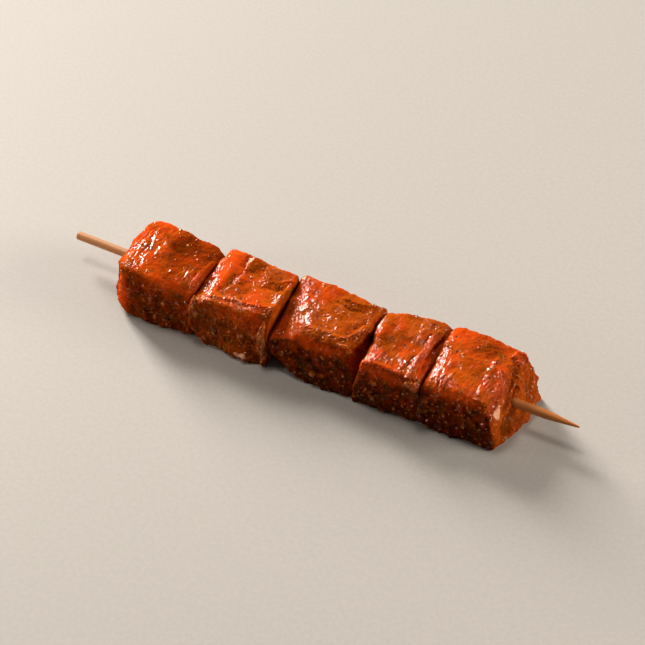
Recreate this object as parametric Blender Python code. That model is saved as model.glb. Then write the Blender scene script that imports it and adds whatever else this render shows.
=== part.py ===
"""Marinated lamb skewer: five cubes of raw lamb pushed along one bamboo stick.

The skewer lies on z = 0. +X runs along the stick to its pointed end, +Y points to the
back, +Z is up, and the origin lies on the surface under the middle of the stick.
Sizes below are in millimetres, and MM turns them into metres.
"""
import math
from dataclasses import dataclass

import bmesh
import bpy
import numpy as np

MM = 0.001

# The bamboo stick: a plain round rod with one long sharpened end
STICK_LENGTH = 200.0
STICK_DIAMETER = 3.2
STICK_HEIGHT = 11.0             # from the surface to the stick's axis
POINT_LENGTH = 12.5
POINT_DIAMETER = 0.7
BLUNT_BEVEL = 0.25
STICK_SIDES = 24

# The holes through the meat follow the stick, and keep clear of it all round
BORE_CLEARANCE = 0.3
BORE_OVERSHOOT = 12.0

# Each cube of meat starts from a box grid, which is then pulled onto the knife cuts
GRID_CELLS = 14
EDGE_SHARPNESS = 22.0           # a higher power gives crisper edges between the cuts
BASE_SAG = 0.45                 # how far the rounded base would sink below the surface

# Soft unevenness of the meat, as lumps of two sizes
BROAD_LUMP_SIZE = 24.0
BROAD_LUMP_HEIGHT = 0.32
SMALL_LUMP_SIZE = 8.5
SMALL_LUMP_HEIGHT = 0.16
WAVES_IN_A_LUMP = 10


@dataclass(frozen=True)
class Cut:
    """A flat knife cut that faces along `facing`, `reach` mm from the cube's centre."""

    facing: tuple
    reach: float


@dataclass(frozen=True)
class Ridge:
    """A raised fold from `start` to `end`, or a groove where its height is negative."""

    start: tuple
    end: tuple
    width: float
    height: float


@dataclass(frozen=True)
class Shred:
    """A loose strand of meat that hangs on the outside, thickest in its middle."""

    start: tuple
    end: tuple
    width: float


@dataclass(frozen=True)
class Join:
    """The plane where two neighbours press together, crossing the stick at `place` mm."""

    place: float
    facing: tuple


@dataclass(frozen=True)
class Cube:
    """One piece of lamb, with its centre on the stick at `place` mm along X."""

    name: str
    place: float
    seed: int
    cuts: tuple
    ridges: tuple = ()
    shreds: tuple = ()
    colour: tuple = (0.42, 0.085, 0.02)


# Every cube's cuts, in the order left, right, front, back, top, then the smaller facets
CUBES = (
    Cube(
        name="lamb_cube_1",
        place=-57.5,
        seed=11,
        cuts=(
            Cut((-1.0, -0.02, 0.10), 17.8),
            Cut((1.0, 0.02, -0.05), 15.9),
            Cut((0.03, -1.0, 0.04), 16.7),
            Cut((0.10, 1.0, 0.03), 11.8),
            Cut((0.03, 0.03, 1.0), 10.6),
            Cut((-0.62, -0.10, 0.78), 17.8),
            Cut((-0.78, -0.62, 0.06), 20.8),
            Cut((-0.66, 0.48, 0.58), 20.4),
            Cut((0.58, 0.10, 0.80), 16.4),
            Cut((0.20, -0.66, 0.72), 18.2),
            Cut((-0.62, -0.56, -0.55), 22.2),
        ),
        ridges=(
            Ridge((-54.8, 3.5, 21.0), (-50.0, 2.0, 21.0), 5.0, -0.9),
            Ridge((-74.0, -8.0, 4.0), (-71.0, -14.0, 3.5), 4.5, 1.3),
            Ridge((-43.5, -11.0, 19.0), (-42.5, 1.0, 19.0), 1.8, 0.8),
            Ridge((-45.6, -10.0, 20.0), (-44.6, 2.0, 20.0), 1.4, -0.5),
        ),
    ),
    Cube(
        name="lamb_cube_2",
        place=-26.0,
        seed=22,
        cuts=(
            Cut((-1.0, 0.03, 0.06), 14.7),
            Cut((1.0, 0.02, 0.02), 15.1),
            Cut((0.06, -1.0, 0.10), 15.9),
            Cut((0.06, 1.0, 0.02), 11.2),
            Cut((0.02, -0.02, 1.0), 10.8),
            Cut((-0.50, -0.08, 0.86), 14.2),
            Cut((0.30, -0.75, 0.59), 18.4),
            Cut((-0.62, -0.60, -0.50), 21.8),
        ),
        ridges=(
            Ridge((-24.0, -16.5, 2.5), (-19.0, -16.5, 1.5), 3.6, 1.3),
            Ridge((-14.0, 1.0, 22.0), (-23.0, 4.5, 22.0), 3.4, -0.7),
            Ridge((-32.0, -8.0, 22.0), (-31.0, 10.0, 22.0), 1.6, -0.5),
        ),
        shreds=(
            Shred((-12.2, -15.6, 14.5), (-11.4, -16.6, 1.8), 3.0),
        ),
    ),
    Cube(
        name="lamb_cube_3",
        place=6.0,
        seed=33,
        cuts=(
            Cut((-1.0, 0.02, 0.03), 16.2),
            Cut((1.0, -0.20, 0.20), 17.6),
            Cut((0.02, -1.0, 0.16), 14.6),
            Cut((0.04, 1.0, 0.04), 11.4),
            Cut((0.02, -0.02, 1.0), 10.6),
            Cut((-0.50, -0.25, 0.82), 13.2),
            Cut((-0.42, -0.74, -0.52), 19.3),
            Cut((1.0, -0.05, -0.02), 16.9),
            Cut((-0.10, -0.70, 0.70), 14.6),
        ),
    ),
    Cube(
        name="lamb_cube_4",
        place=35.5,
        seed=44,
        cuts=(
            Cut((-1.0, -0.07, 0.16), 11.4),
            Cut((1.0, -0.04, 0.02), 11.9),
            Cut((0.04, -1.0, 0.04), 15.2),
            Cut((-0.12, 1.0, 0.04), 13.0),
            Cut((0.02, -0.02, 1.0), 10.2),
            Cut((-0.62, -0.10, 0.76), 13.4),
            Cut((0.66, 0.02, 0.75), 13.1),
            Cut((-0.45, 0.45, 0.77), 15.2),
            Cut((-1.0, 0.0, -0.02), 12.1),
        ),
        ridges=(
            Ridge((43.2, -13.5, 20.5), (44.2, 8.0, 20.5), 1.6, 0.9),
            Ridge((45.2, -13.0, 19.0), (46.0, 8.5, 19.0), 1.4, -0.7),
            Ridge((34.0, -1.0, 22.0), (40.0, 1.0, 22.0), 4.0, -0.5),
        ),
        shreds=(
            Shred((44.0, -15.4, 18.4), (46.3, -15.6, 16.4), 3.6),
        ),
    ),
    Cube(
        name="lamb_cube_5",
        place=60.5,
        seed=55,
        cuts=(
            Cut((-1.0, -0.02, 0.04), 12.7),
            Cut((1.0, -0.17, 0.28), 14.8),
            Cut((0.04, -1.0, 0.02), 14.6),
            Cut((-0.04, 1.0, 0.02), 14.8),
            Cut((0.04, 0.00, 1.0), 10.4),
            Cut((-0.60, -0.06, 0.80), 14.2),
            Cut((1.0, -0.10, -0.10), 18.6),
            Cut((0.62, 0.62, 0.46), 21.8),
            Cut((-0.05, -0.62, 0.78), 14.8),
            Cut((-0.52, -0.60, -0.60), 20.4),
        ),
        ridges=(
            Ridge((72.0, -9.5, 21.0), (71.5, 12.0, 21.0), 2.0, 0.9),
            Ridge((79.0, -3.0, 1.5), (78.5, 8.0, 4.5), 6.0, 2.4),
            Ridge((73.5, -4.0, 17.0), (73.5, 8.0, 17.0), 1.8, -0.8),
        ),
    ),
)


# The four planes between neighbouring cubes, and the gap that each side keeps to them
JOINS = (
    Join(-41.0, (1.0, 0.0, 0.0)),
    Join(-10.6, (1.0, 0.0, 0.0)),
    Join(23.5, (1.0, -0.03, -0.05)),
    Join(47.6, (1.0, 0.0, 0.0)),
)
JOIN_CLEARANCE = 0.18


def clear_scene():
    """Remove every object that is in the scene."""
    for thing in list(bpy.data.objects):
        bpy.data.objects.remove(thing, do_unlink=True)


def material(name, colour, roughness):
    """Make a Principled material of one linear colour."""
    finish = bpy.data.materials.new(name)
    finish.use_nodes = True
    shader = finish.node_tree.nodes["Principled BSDF"]
    shader.inputs["Base Color"].default_value = (*colour, 1.0)
    shader.inputs["Roughness"].default_value = roughness
    shader.inputs["Metallic"].default_value = 0.0
    finish.diffuse_color = (*colour, 1.0)
    return finish


def add_object(name, mesh_data, finish=None):
    """Turn a bmesh into a named object in the scene, and free the bmesh."""
    mesh = bpy.data.meshes.new(name)
    mesh_data.to_mesh(mesh)
    mesh_data.free()
    if finish is not None:
        mesh.materials.append(finish)
    thing = bpy.data.objects.new(name, mesh)
    bpy.context.scene.collection.objects.link(thing)
    return thing


def turned_bar(profile, sides):
    """Spin (x, radius) stations round the X axis into a closed bar, with flat ends."""
    bar = bmesh.new()
    rings = []
    for x, radius in profile:
        ring = []
        for side in range(sides):
            angle = 2.0 * math.pi * side / sides
            y = radius * math.cos(angle)
            z = radius * math.sin(angle)
            ring.append(bar.verts.new((x, y, z)))
        rings.append(ring)
    for ring, following in zip(rings, rings[1:]):
        for side in range(sides):
            other = (side + 1) % sides
            bar.faces.new((ring[side], following[side], following[other], ring[other]))
    bar.faces.new(rings[0])
    bar.faces.new(list(reversed(rings[-1])))
    bmesh.ops.recalc_face_normals(bar, faces=bar.faces)
    return bar


def build_stick():
    """The bamboo stick: blunt at -X, a straight shank, and a long point at +X."""
    half = STICK_LENGTH / 2.0
    radius = STICK_DIAMETER / 2.0
    shoulder = half - POINT_LENGTH
    profile = [
        (-half, radius - BLUNT_BEVEL),
        (-half + BLUNT_BEVEL, radius),
        (shoulder, radius),
        (shoulder + 0.25 * POINT_LENGTH, 0.86 * radius),
        (shoulder + 0.60 * POINT_LENGTH, 0.56 * radius),
        (half - 0.3, POINT_DIAMETER / 2.0),
        (half, POINT_DIAMETER / 4.0),
    ]
    bar = turned_bar(profile, STICK_SIDES)
    bmesh.ops.translate(bar, verts=bar.verts, vec=(0.0, 0.0, STICK_HEIGHT))
    bmesh.ops.scale(bar, verts=bar.verts, vec=(MM, MM, MM))
    stick = add_object("skewer", bar, material("bamboo", (0.62, 0.42, 0.22), 0.55))
    stick.data.shade_smooth()
    stick.data.set_sharp_from_angle(angle=math.radians(35.0))
    return stick


def cut_radius(rays, cube):
    """Distance from the cube's centre to its skin along each unit ray.

    One cut alone stops a ray at reach / cos(angle to its facing). The inverse power sum
    of all the cuts keeps the nearest one, and rounds the edge where two of them meet.
    """
    base = Cut((0.0, 0.0, -1.0), STICK_HEIGHT + BASE_SAG)
    total = np.zeros(len(rays))
    for cut in (*cube.cuts, base):
        facing = np.array(cut.facing) / np.linalg.norm(cut.facing)
        total += (np.maximum(rays @ facing, 0.0) / cut.reach) ** EDGE_SHARPNESS
    return total ** (-1.0 / EDGE_SHARPNESS)


def lump_height(points, seed, size, height):
    """Soft random lumps: plane waves of one wavelength in random directions, added up."""
    draw = np.random.default_rng(seed)
    axes = draw.normal(size=(WAVES_IN_A_LUMP, 3))
    axes /= np.linalg.norm(axes, axis=1, keepdims=True)
    phases = draw.uniform(0.0, 2.0 * math.pi, WAVES_IN_A_LUMP)
    waves = np.sin(points @ axes.T * (2.0 * math.pi / size) + phases)
    return height * waves.sum(axis=1) / math.sqrt(WAVES_IN_A_LUMP)


def ridge_height(points, ridge):
    """Height of a ridge: a bell curve of the distance to its centre line."""
    start = np.array(ridge.start)
    run = np.array(ridge.end) - start
    share = np.clip((points - start) @ run / (run @ run), 0.0, 1.0)
    gap = np.linalg.norm(points - start - share[:, None] * run, axis=1)
    return ridge.height * np.exp(-((gap / ridge.width) ** 2))


def flat_limit(rays, facing, reach):
    """Distance along each ray to a flat stop, and infinity where a ray points away."""
    towards = rays @ (np.array(facing) / np.linalg.norm(facing))
    return np.where(towards > 1e-9, reach / np.maximum(towards, 1e-9), np.inf)


def join_limit(rays, cube):
    """Distance along each ray to the planes that the cube shares with its neighbours."""
    limit = np.full(len(rays), np.inf)
    for join in JOINS:
        side = math.copysign(1.0, join.place - cube.place)
        facing = side * np.array(join.facing)
        reach = abs(join.place - cube.place) / np.linalg.norm(facing) - JOIN_CLEARANCE
        limit = np.minimum(limit, flat_limit(rays, facing, reach))
    return limit


def meat_surface(rays, cube):
    """Points of the cube's skin along unit rays from its centre.

    It is flat where it rests on the surface and where it presses on a neighbour.
    """
    centre = np.array([cube.place, 0.0, STICK_HEIGHT])
    radius = cut_radius(rays, cube)
    points = centre + rays * radius[:, None]
    radius += lump_height(points, cube.seed, BROAD_LUMP_SIZE, BROAD_LUMP_HEIGHT)
    radius += lump_height(points, cube.seed + 1, SMALL_LUMP_SIZE, SMALL_LUMP_HEIGHT)
    for ridge in cube.ridges:
        radius += ridge_height(points, ridge)
    radius = np.minimum(radius, flat_limit(rays, (0.0, 0.0, -1.0), STICK_HEIGHT))
    radius = np.minimum(radius, join_limit(rays, cube))
    return centre + rays * radius[:, None]


def build_block(cube):
    """The cube of meat before its hole: a box grid pulled out onto the knife cuts."""
    reach = [cut.reach for cut in cube.cuts]
    block = bmesh.new()
    bmesh.ops.create_cube(block, size=2.0)
    bmesh.ops.subdivide_edges(
        block, edges=block.edges, cuts=GRID_CELLS - 1, use_grid_fill=True
    )
    box = np.array([(reach[0] + reach[1]) / 2.0, (reach[2] + reach[3]) / 2.0, reach[4]])
    grid = np.array([vert.co[:] for vert in block.verts]) * box
    rays = grid / np.linalg.norm(grid, axis=1, keepdims=True)
    for vert, point in zip(block.verts, meat_surface(rays, cube)):
        vert.co = point * MM
    bmesh.ops.triangulate(block, faces=block.faces, quad_method="SHORT_EDGE")
    bmesh.ops.recalc_face_normals(block, faces=block.faces)
    thing = add_object(cube.name, block, material(cube.name, cube.colour, 0.35))
    thing.data.shade_smooth()
    return thing


def build_shred(shred, name):
    """A strand along a straight line, with rounded ends and a fat middle."""
    start = np.array(shred.start)
    run = np.array(shred.end) - start
    length = float(np.linalg.norm(run))
    profile = []
    for station in range(7):
        share = station / 6.0
        swell = math.sin(math.pi * (0.06 + 0.88 * share)) ** 0.6
        profile.append((share * length, swell * shred.width / 2.0))
    strand = turned_bar(profile, 10)
    forward = run / length
    side = np.cross(forward, (0.0, 1.0, 0.0))
    side /= np.linalg.norm(side)
    third = np.cross(forward, side)
    for vert in strand.verts:
        x, y, z = vert.co
        vert.co = (start + x * forward + y * side + z * third) * MM
    bmesh.ops.recalc_face_normals(strand, faces=strand.faces)
    return add_object(name, strand)


def combine(target, tool, operation):
    """Apply a Boolean with another object to the target, and remove that object."""
    change = target.modifiers.new(operation.lower(), "BOOLEAN")
    change.operation = operation
    change.solver = "EXACT"
    change.object = tool
    bpy.context.view_layer.update()
    evaluated = target.evaluated_get(bpy.context.evaluated_depsgraph_get())
    finished = bpy.data.meshes.new_from_object(evaluated)
    target.modifiers.remove(change)
    target.data = finished
    bpy.data.objects.remove(tool, do_unlink=True)


def build_bore(cube):
    """The round cutter for the hole that the stick goes through."""
    reach = max(cube.cuts[0].reach, cube.cuts[1].reach) + BORE_OVERSHOOT
    radius = STICK_DIAMETER / 2.0 + BORE_CLEARANCE
    bar = turned_bar([(-reach, radius), (reach, radius)], STICK_SIDES)
    bmesh.ops.translate(bar, verts=bar.verts, vec=(cube.place, 0.0, STICK_HEIGHT))
    bmesh.ops.scale(bar, verts=bar.verts, vec=(MM, MM, MM))
    return add_object(cube.name + "_bore", bar)


def build_cube(cube):
    """One cube of lamb: the block, its loose strands, and the hole for the stick."""
    block = build_block(cube)
    for number, shred in enumerate(cube.shreds):
        combine(block, build_shred(shred, f"{cube.name}_shred_{number}"), "UNION")
    combine(block, build_bore(cube), "DIFFERENCE")
    return block


def build_skewer():
    """The whole skewer: the stick and its five cubes of meat."""
    clear_scene()
    build_stick()
    for cube in CUBES:
        build_cube(cube)


build_skewer()
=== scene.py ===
"""Looks of the marinated lamb skewer: wet, spice-crusted raw lamb on a bamboo stick.

The skewer lies on z = 0 with +X along the stick towards its point and +Z up, as in the
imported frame. Shapes are worked out in millimetres and written to the meshes in metres.
"""
import logging
import math
from dataclasses import dataclass, field
from enum import Enum

import bpy
import numpy as np
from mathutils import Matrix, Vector


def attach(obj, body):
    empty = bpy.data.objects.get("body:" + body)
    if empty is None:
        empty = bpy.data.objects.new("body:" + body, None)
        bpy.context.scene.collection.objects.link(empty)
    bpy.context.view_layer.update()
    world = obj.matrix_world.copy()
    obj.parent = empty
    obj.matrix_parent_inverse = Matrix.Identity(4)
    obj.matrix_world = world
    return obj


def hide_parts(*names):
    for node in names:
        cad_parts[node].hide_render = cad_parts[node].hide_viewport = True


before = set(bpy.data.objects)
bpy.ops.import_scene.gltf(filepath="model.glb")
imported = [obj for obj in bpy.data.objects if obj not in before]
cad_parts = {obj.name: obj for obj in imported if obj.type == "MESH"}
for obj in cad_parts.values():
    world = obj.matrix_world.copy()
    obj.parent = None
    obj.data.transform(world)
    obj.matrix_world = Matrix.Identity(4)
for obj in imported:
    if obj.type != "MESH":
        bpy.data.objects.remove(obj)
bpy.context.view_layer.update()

MM = 0.001
BODY = "root"
Array = np.ndarray
Triple = tuple[float, float, float]

log = logging.getLogger("lamb_skewer")


# ---------------------------------------------------------------- sizes shared with the CAD

STICK_LENGTH = 200.0
STICK_DIAMETER = 3.2
STICK_HEIGHT = 11.0
EDGE_SHARPNESS = 22.0
BASE_SAG = 0.45
BROAD_LUMP_SIZE = 24.0
BROAD_LUMP_HEIGHT = 0.32
SMALL_LUMP_SIZE = 8.5
SMALL_LUMP_HEIGHT = 0.16
WAVES_IN_A_LUMP = 10


@dataclass(frozen=True)
class Cut:
    """A flat knife cut that faces along `facing`, `reach` mm from the cube's centre."""

    facing: Triple
    reach: float


@dataclass(frozen=True)
class Fold:
    """A raised fold along a path of points, or a groove where its height is negative."""

    path: tuple[Triple, ...]
    width: float
    height: float


@dataclass(frozen=True)
class Strand:
    """A loose strand or clot that hangs on the outside, along a path of points."""

    path: tuple[Triple, ...]
    width: float


@dataclass(frozen=True)
class Join:
    """The plane where two neighbours press together, crossing the stick at `place` mm."""

    place: float
    facing: Triple


class Patch(Enum):
    """What an area of a cube's skin shows through its marinade."""

    LEAN = "smooth bare muscle, redder than the paste"
    SHINE = "wet membrane with fine crossways wrinkles"
    PASTE = "thick spice paste"
    PIT = "a brown hollow where herbs gather"
    FAT = "pale fat or sinew"
    TORN = "a torn, pinkish edge"


@dataclass(frozen=True)
class Area:
    """An ellipsoid around `centre` with half-widths `size`, in which a patch shows."""

    kind: Patch
    centre: Triple
    size: Triple
    strength: float


def cut_rows(*rows: tuple[float, float, float, float]) -> tuple[Cut, ...]:
    """Make cuts from rows of x, y and z of the facing, and the reach."""
    return tuple(Cut(row[:3], row[3]) for row in rows)


def fold_rows(*rows: tuple) -> tuple[Fold, ...]:
    """Make folds and grooves from rows of width, height and the points of the path."""
    return tuple(Fold(tuple(path), width, height) for width, height, *path in rows)


def strand_rows(*rows: tuple) -> tuple[Strand, ...]:
    """Make strands from rows of width and the points of the path."""
    return tuple(Strand(tuple(path), width) for width, *path in rows)


def area_rows(kind: Patch, *rows: tuple[float, Triple, Triple]) -> tuple[Area, ...]:
    """Make areas of one kind from rows of strength, centre and half-widths."""
    return tuple(Area(kind, centre, size, strength) for strength, centre, size in rows)


JOINS = (
    Join(-41.0, (1.0, 0.0, 0.0)),
    Join(-10.6, (1.0, 0.0, 0.0)),
    Join(23.5, (1.0, -0.03, -0.05)),
    Join(47.6, (1.0, 0.0, 0.0)),
)
JOIN_CLEARANCE = 0.06


# ---------------------------------------------------------------------------- array tools

def unit(vectors: Array) -> Array:
    """Divide every vector along the last axis by its own length."""
    length = np.linalg.norm(vectors, axis=-1, keepdims=True)
    return vectors / np.maximum(length, 1e-12)


def smooth_step(low: float, high: float, value: Array) -> Array:
    """Rise from 0 at `low` to 1 at `high` along the curve 3t² - 2t³."""
    t = np.clip((value - low) / (high - low), 0.0, 1.0)
    return t * t * (3.0 - 2.0 * t)


def lattice_hash(cell: Array, seed: int) -> Array:
    """Mix whole-number cell coordinates into a repeatable random number.

    Args:
        cell: whole numbers, with x, y, z on the last axis.
        seed: another seed gives other numbers.

    Returns:
        One unsigned 32-bit number for each cell.
    """
    x, y, z = (cell[..., axis].astype(np.int64) for axis in range(3))
    mixed = x * 73856093 ^ y * 19349663 ^ z * 83492791 ^ (seed * 2654435761)
    mixed = mixed.astype(np.uint32)
    mixed = (mixed ^ (mixed >> 15)) * np.uint32(2246822519)
    mixed = (mixed ^ (mixed >> 13)) * np.uint32(3266489917)
    return mixed ^ (mixed >> 16)


def soft_noise(points: Array, size: float, seed: int) -> Array:
    """Gradient noise: each lattice corner gets a random slope, blended by 6t⁵ - 15t⁴ + 10t³.

    Args:
        points: places in mm, with x, y, z on the last axis.
        size: lattice spacing in mm, about the width of one bump.
        seed: another seed gives another pattern.

    Returns:
        Heights of about -1 to 1.
    """
    table = unit(np.random.default_rng(97).normal(size=(256, 3)))
    place = points / size
    cell = np.floor(place)
    share = place - cell
    fade = share ** 3 * (share * (share * 6.0 - 15.0) + 10.0)
    total = np.zeros(points.shape[:-1])
    for corner in np.ndindex(2, 2, 2):
        step = np.array(corner)
        slope = table[lattice_hash(cell + step, seed) & np.uint32(255)]
        weight = np.prod(np.where(step == 1, fade, 1.0 - fade), axis=-1)
        total += weight * np.sum(slope * (share - step), axis=-1)
    return 1.6 * total


def rough_noise(points: Array, size: float, seed: int, layers: int = 3) -> Array:
    """Gradient noise added up in layers, each half as wide and 0.55 as high as the last.

    Args:
        points: places in mm.
        size: width of the widest bumps in mm.
        seed: another seed gives another pattern.
        layers: how many sizes are added.

    Returns:
        Heights of about -1 to 1.
    """
    total = np.zeros(points.shape[:-1])
    height = 1.0
    whole = 0.0
    for layer in range(layers):
        total += height * soft_noise(points, size / 2.0 ** layer, seed + 31 * layer)
        whole += height
        height *= 0.55
    return total / whole * 1.35


def grain_bumps(points: Array, size: float, seed: int, fill: float) -> Array:
    """Round grains: a dome over a random point in each lattice cell, 0 between them.

    Args:
        points: places in mm.
        size: spacing of the grains in mm.
        seed: another seed gives other grains.
        fill: share of the cells that hold a grain.

    Returns:
        The highest dome at each place, 0 to 1.
    """
    place = points / size
    cell = np.floor(place)
    best = np.zeros(points.shape[:-1])
    for offset in np.ndindex(3, 3, 3):
        near = cell + np.array(offset) - 1.0
        code = lattice_hash(near, seed)
        shift = np.stack([(code >> s) & np.uint32(255) for s in (0, 8, 16)], axis=-1) / 255.0
        wide = 0.25 + 0.3 * ((code >> np.uint32(24)) / 255.0)
        here = ((code * np.uint32(40503)) >> np.uint32(22)) / 1023.0 < fill
        gap = np.sum((place - near - shift) ** 2, axis=-1) / wide ** 2
        best = np.maximum(best, np.where(here, np.clip(1.0 - gap, 0.0, 1.0), 0.0) * wide * 1.8)
    return best


def along(points: Array, direction: Triple, stretch: float) -> Array:
    """Squeeze space along a direction, so that a pattern runs `stretch` times longer there."""
    axis = unit(np.array(direction, dtype=float))
    return points + (1.0 / stretch - 1.0) * (points @ axis)[..., None] * axis


# --------------------------------------------------------------------------- mesh builders

@dataclass
class Surface:
    """Vertices in mm, triangles as rows of three indices, and named values on each vertex."""

    points: Array
    faces: Array
    values: dict[str, Array] = field(default_factory=dict)


def grid_triangles(rows: int, columns: int, close_rows: bool) -> Array:
    """Triangles of a grid that always closes on itself across its columns.

    Args:
        rows: number of rows of vertices.
        columns: number of vertices in each row.
        close_rows: whether the last row also joins the first, as on a ring.

    Returns:
        Rows of three vertex indices.
    """
    row = np.arange(rows if close_rows else rows - 1)[:, None]
    column = np.arange(columns)[None, :]
    next_row = (row + 1) % rows
    next_column = (column + 1) % columns
    here, beside = row * columns + column, row * columns + next_column
    across, above = next_row * columns + next_column, next_row * columns + column
    return np.concatenate([
        np.stack([here, beside, across], axis=-1).reshape(-1, 3),
        np.stack([here, across, above], axis=-1).reshape(-1, 3),
    ])


def outward(surface: Surface) -> Surface:
    """Turn the faces of a closed surface to point out, by the sign of its volume.

    Args:
        surface: a closed surface.

    Returns:
        The same surface, with its faces' order reversed if it was inside out.
    """
    a, b, c = (surface.points[surface.faces[:, corner]] for corner in range(3))
    if np.sum(np.cross(a, b) * c) < 0.0:
        surface.faces = surface.faces[:, ::-1]
    return surface


def tube(rings: Array, values: dict[str, Array]) -> Surface:
    """Close a row of rings into a tube, with a fan of triangles to the middle of each end.

    Args:
        rings: points in mm, rings by points by 3.
        values: named values, rings by points.

    Returns:
        A closed surface.
    """
    rows, columns = rings.shape[:2]
    poles = np.stack([rings[0].mean(axis=0), rings[-1].mean(axis=0)])
    column = np.arange(columns)
    beside = (column + 1) % columns
    far = (rows - 1) * columns
    ends = np.full((2, columns), rows * columns) + np.array([[0], [1]])
    faces = np.concatenate([
        grid_triangles(rows, columns, False),
        np.stack([beside, column, ends[0]], axis=-1),
        np.stack([far + column, far + beside, ends[1]], axis=-1),
    ])
    named = {
        name: np.concatenate([value.ravel(), [value[0].mean(), value[-1].mean()]])
        for name, value in values.items()
    }
    return outward(Surface(np.concatenate([rings.reshape(-1, 3), poles]), faces, named))


def joined(surfaces: list[Surface]) -> Surface:
    """Put several surfaces into one, keeping the values that the first one has.

    Args:
        surfaces: the surfaces, in order.

    Returns:
        One surface with all their vertices and faces.
    """
    start = np.cumsum([0] + [len(part.points) for part in surfaces[:-1]])
    blank = [np.zeros(len(part.points)) for part in surfaces]
    values = {
        name: np.concatenate([part.values.get(name, gap) for part, gap in zip(surfaces, blank)])
        for name in surfaces[0].values
    }
    return Surface(
        np.concatenate([part.points for part in surfaces]),
        np.concatenate([part.faces + shift for part, shift in zip(surfaces, start)]),
        values,
    )


def add_piece(name: str, surface: Surface, material: bpy.types.Material,
              replaces: str | None = None) -> bpy.types.Object:
    """Put a surface into the scene as a piece that rides on the skewer.

    Args:
        name: the piece's name.
        surface: its mesh in mm.
        material: its finish.
        replaces: the CAD node that the piece stands for, if any.

    Returns:
        The new object.
    """
    mesh = bpy.data.meshes.new(name)
    count, sides = surface.faces.shape
    mesh.vertices.add(len(surface.points))
    mesh.vertices.foreach_set("co", (surface.points * MM).astype(np.float32).ravel())
    mesh.loops.add(count * sides)
    mesh.loops.foreach_set("vertex_index", surface.faces.astype(np.int32).ravel())
    mesh.polygons.add(count)
    mesh.polygons.foreach_set("loop_start", np.arange(0, count * sides, sides, dtype=np.int32))
    mesh.update(calc_edges=True)
    mesh.shade_smooth()
    for label, value in surface.values.items():
        layer = mesh.attributes.new(label, "FLOAT", "POINT")
        layer.data.foreach_set("value", value.astype(np.float32))
    mesh.materials.append(material)
    piece = bpy.data.objects.new(name, mesh)
    bpy.context.scene.collection.objects.link(piece)
    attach(piece, BODY)
    if replaces:
        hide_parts(replaces)
    log.info("%s: %d faces", name, count)
    return piece


# --------------------------------------------------------------------------------- finishes

def linear(colour: str) -> tuple[float, float, float, float]:
    """Turn an sRGB hex colour into linear red, green, blue and alpha.

    Args:
        colour: a # and six hex digits.

    Returns:
        Four numbers from 0 to 1.
    """
    levels = [int(colour[start:start + 2], 16) / 255.0 for start in (1, 3, 5)]
    red, green, blue = (
        level / 12.92 if level <= 0.04045 else ((level + 0.055) / 1.055) ** 2.4
        for level in levels
    )
    return red, green, blue, 1.0


def per_mm(width: float) -> float:
    """The scale that makes a noise node's widest bumps about `width` mm across."""
    return 1.0 / (width * MM)


class Kind(Enum):
    """A kind of node: its type, its fixed settings, its inputs in order, and its output.

    The sockets of a node that has several of one name are given by number. On the mix node
    0 is the share, 6 and 7 are the two colours, and output 2 is the blended colour.
    """

    PLACE = ("ShaderNodeTexCoord", {}, (), "Object")
    VALUE = ("ShaderNodeAttribute", {"attribute_type": "GEOMETRY"}, (), "Fac")
    STRETCH = ("ShaderNodeMapping", {"vector_type": "POINT"}, ("Vector", "Scale"), "Vector")
    HEIGHT = ("ShaderNodeSeparateXYZ", {}, ("Vector",), "Z")
    NOISE = ("ShaderNodeTexNoise", {}, ("Vector", "Scale", "Detail", "Roughness"), "Fac")
    RAMP = ("ShaderNodeMapRange", {"interpolation_type": "SMOOTHSTEP"},
            ("Value", "From Min", "From Max", "To Min", "To Max"), "Result")
    ADD = ("ShaderNodeMath", {"operation": "ADD"}, (0, 1), "Value")
    MULTIPLY = ("ShaderNodeMath", {"operation": "MULTIPLY"}, (0, 1), "Value")
    BLEND = ("ShaderNodeMix", {"data_type": "RGBA", "clamp_factor": True}, (0, 6, 7), 2)
    BUMP = ("ShaderNodeBump", {}, ("Height", "Strength", "Distance"), "Normal")
    SHADER = ("ShaderNodeBsdfPrincipled", {}, (), "BSDF")
    MATERIAL = ("ShaderNodeOutputMaterial", {}, ("Surface",), None)
    SKY = ("ShaderNodeBackground", {}, ("Color", "Strength"), "Background")
    WORLD = ("ShaderNodeOutputWorld", {}, ("Surface",), None)


class Look:
    """The node tree of a material or of the world, while it is put together."""

    def __init__(self, owner: bpy.types.Material | bpy.types.World) -> None:
        """Start with an empty tree."""
        self.owner = owner
        self.owner.use_nodes = True
        self.owner.node_tree.nodes.clear()

    def add(self, kind: Kind, *values: object, inputs: dict[str, object] | None = None,
            **settings: object) -> bpy.types.NodeSocket | None:
        """Add one node with its settings, values and links.

        Args:
            kind: the kind of node.
            values: numbers, hex colours or sockets for the kind's inputs, in their order.
            inputs: the same for inputs given by name.
            settings: further properties of the node itself.

        Returns:
            The kind's output, or None for a node that ends the tree.
        """
        type_name, fixed, names, output = kind.value
        node = self.owner.node_tree.nodes.new(type_name)
        for name, value in {**fixed, **settings}.items():
            setattr(node, name, value)
        for name, value in {**dict(zip(names, values)), **(inputs or {})}.items():
            if isinstance(value, bpy.types.NodeSocket):
                self.owner.node_tree.links.new(value, node.inputs[name])
            else:
                value = linear(value) if isinstance(value, str) else value
                node.inputs[name].default_value = value
        return None if output is None else node.outputs[output]

    def finish(self, inputs: dict[str, object]) -> bpy.types.Material:
        """End the tree in the Principled shader with these inputs, and return the material."""
        self.add(Kind.MATERIAL, self.add(Kind.SHADER, inputs=inputs))
        return self.owner


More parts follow.
